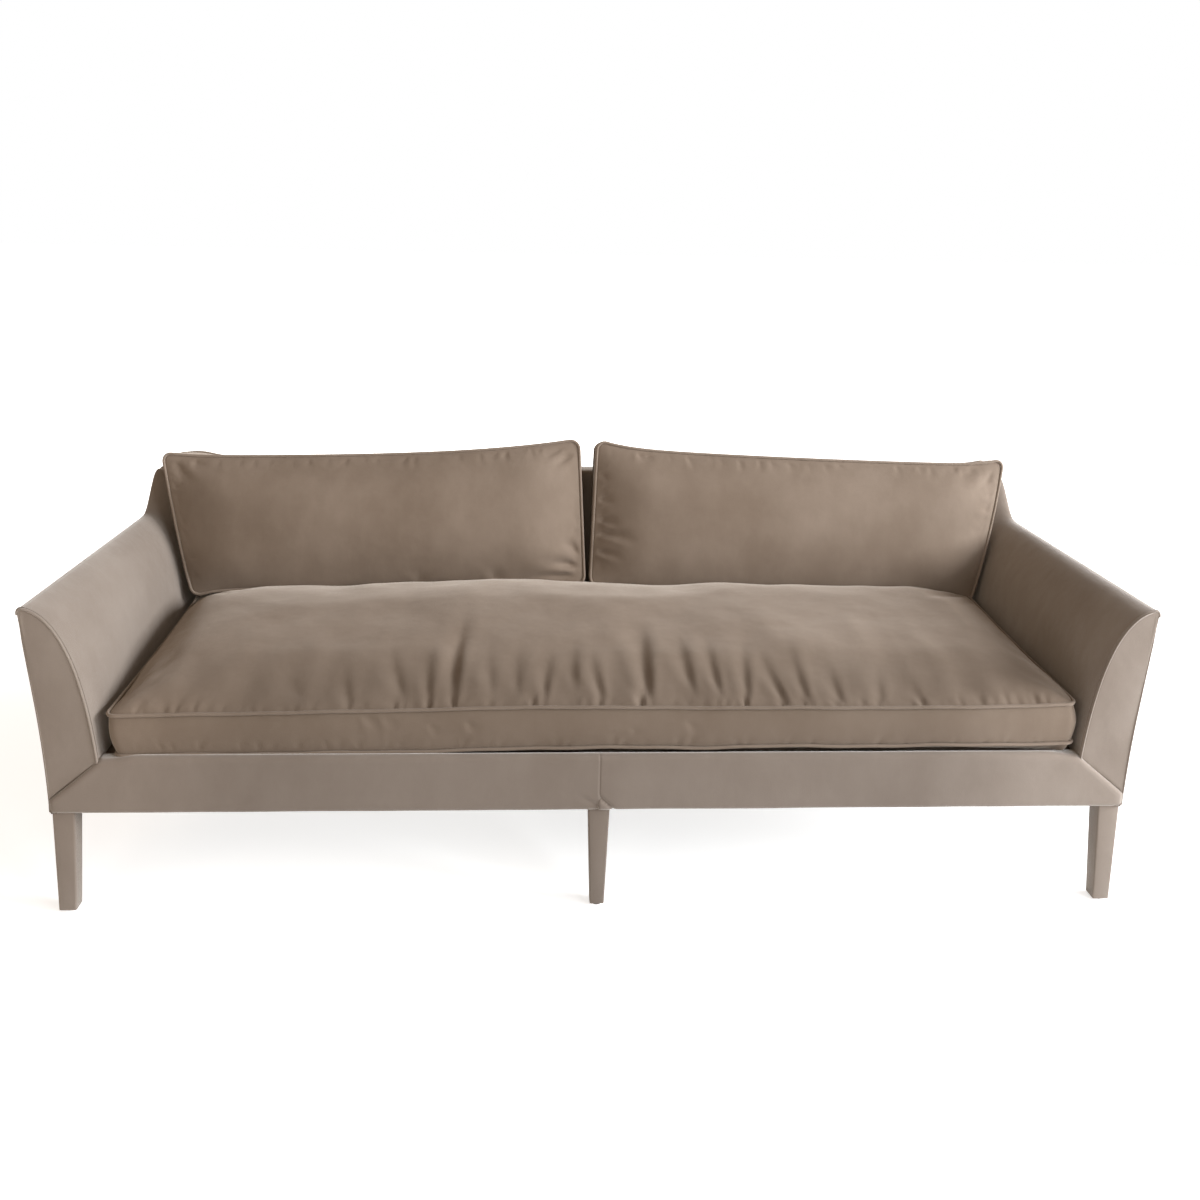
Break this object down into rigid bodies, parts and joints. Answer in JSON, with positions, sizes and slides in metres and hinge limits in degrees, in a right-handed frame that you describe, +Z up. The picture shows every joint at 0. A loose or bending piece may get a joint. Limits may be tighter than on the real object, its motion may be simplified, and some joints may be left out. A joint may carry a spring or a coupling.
{
  "type": "sofa",
  "caption": "Velvet sofa with flared arms, tapered covered legs, a loose bench seat cushion and loose boxed back cushions with welts and zips.",
  "frame": {"origin": "on the floor, under the middle of the sofa's box", "axes": "+X along the sofa to the right as seen from the front, +Y from the front to the back, +Z up"},
  "size_m": [2.236, 0.8748, 0.8123],
  "materials": {
    "velvet": "cut pile velvet, taupe, soft sheen",
    "velvet_welt": "bias-cut velvet over cord, taupe",
    "wadding": "cotton-covered feather and foam",
    "webbing": "woven webbing",
    "lining": "thin black non-woven cloth",
    "zip_tape": "woven zip tape with coil teeth",
    "zip_metal": "satin nickel",
    "hardwood": "planed beech, unfinished",
    "steel": "plain zinc",
    "glide": "black nylon"
  },
  "bodies": {
    "frame": {"front_rail": "hardwood", "rear_rail": "hardwood", "left_side_rail": "hardwood", "right_side_rail": "hardwood", "centre_stretcher": "hardwood", "corner_blocks": "hardwood", "left_arm_post": "hardwood", "right_arm_post": "hardwood", "left_arm_rail": "hardwood", "right_arm_rail": "hardwood", "left_arm_tack_strip": "hardwood", "right_arm_tack_strip": "hardwood", "left_back_post": "hardwood", "right_back_post": "hardwood", "centre_back_post": "hardwood", "back_top_rail": "hardwood", "back_tack_rail": "hardwood", "seat_springs": "steel", "spring_clips": "steel", "back_webbing": "webbing", "seat_deck": "wadding", "left_inside_arm": "velvet", "right_inside_arm": "velvet", "left_outside_arm": "velvet", "right_outside_arm": "velvet", "left_arm_facing": "velvet", "right_arm_facing": "velvet", "left_front_border": "velvet", "right_front_border": "velvet", "inside_back": "velvet", "outside_back": "velvet", "dust_cover": "lining", "front_left_leg": "hardwood", "front_centre_leg": "hardwood", "front_right_leg": "hardwood", "rear_left_leg": "hardwood", "rear_centre_leg": "hardwood", "rear_right_leg": "hardwood", "front_left_leg_cover": "velvet", "front_centre_leg_cover": "velvet", "front_right_leg_cover": "velvet", "rear_leg_covers": "velvet", "leg_plates": "steel", "leg_bolts": "steel", "leg_glides": "glide"},
    "seat_cushion": {"seat_cushion_cover": "velvet", "seat_cushion_insert": "wadding", "seat_cushion_welts": "velvet_welt", "seat_cushion_zip": "zip_tape"},
    "seat_zip_pull": {"seat_zip_slider": "zip_metal"},
    "left_back_cushion": {"left_cushion_cover": "velvet", "left_cushion_insert": "wadding", "left_cushion_welts": "velvet_welt", "left_cushion_zip": "zip_tape"},
    "left_zip_pull": {"left_zip_slider": "zip_metal"},
    "right_back_cushion": {"right_cushion_cover": "velvet", "right_cushion_insert": "wadding", "right_cushion_welts": "velvet_welt", "right_cushion_zip": "zip_tape"},
    "right_zip_pull": {"right_zip_slider": "zip_metal"}
  },
  "joints": [
    {"name": "seat_cushion_lift", "type": "slide", "parent": "frame", "child": "seat_cushion", "axis": [0, 0, 1], "range_m": [0, 0.4]},
    {"name": "left_cushion_lift", "type": "slide", "parent": "seat_cushion", "child": "left_back_cushion", "axis": [0, 0, 1], "range_m": [0, 0.4]},
    {"name": "right_cushion_lift", "type": "slide", "parent": "seat_cushion", "child": "right_back_cushion", "axis": [0, 0, 1], "range_m": [0, 0.4]},
    {"name": "seat_zip_run", "type": "slide", "parent": "seat_cushion", "child": "seat_zip_pull", "axis": [1, 0, 0], "range_m": [0, 1.44]},
    {"name": "left_zip_run", "type": "slide", "parent": "left_back_cushion", "child": "left_zip_pull", "axis": [-1, 0, 0], "range_m": [0, 0.55]},
    {"name": "right_zip_run", "type": "slide", "parent": "right_back_cushion", "child": "right_zip_pull", "axis": [1, 0, 0], "range_m": [0, 0.55]}
  ]
}
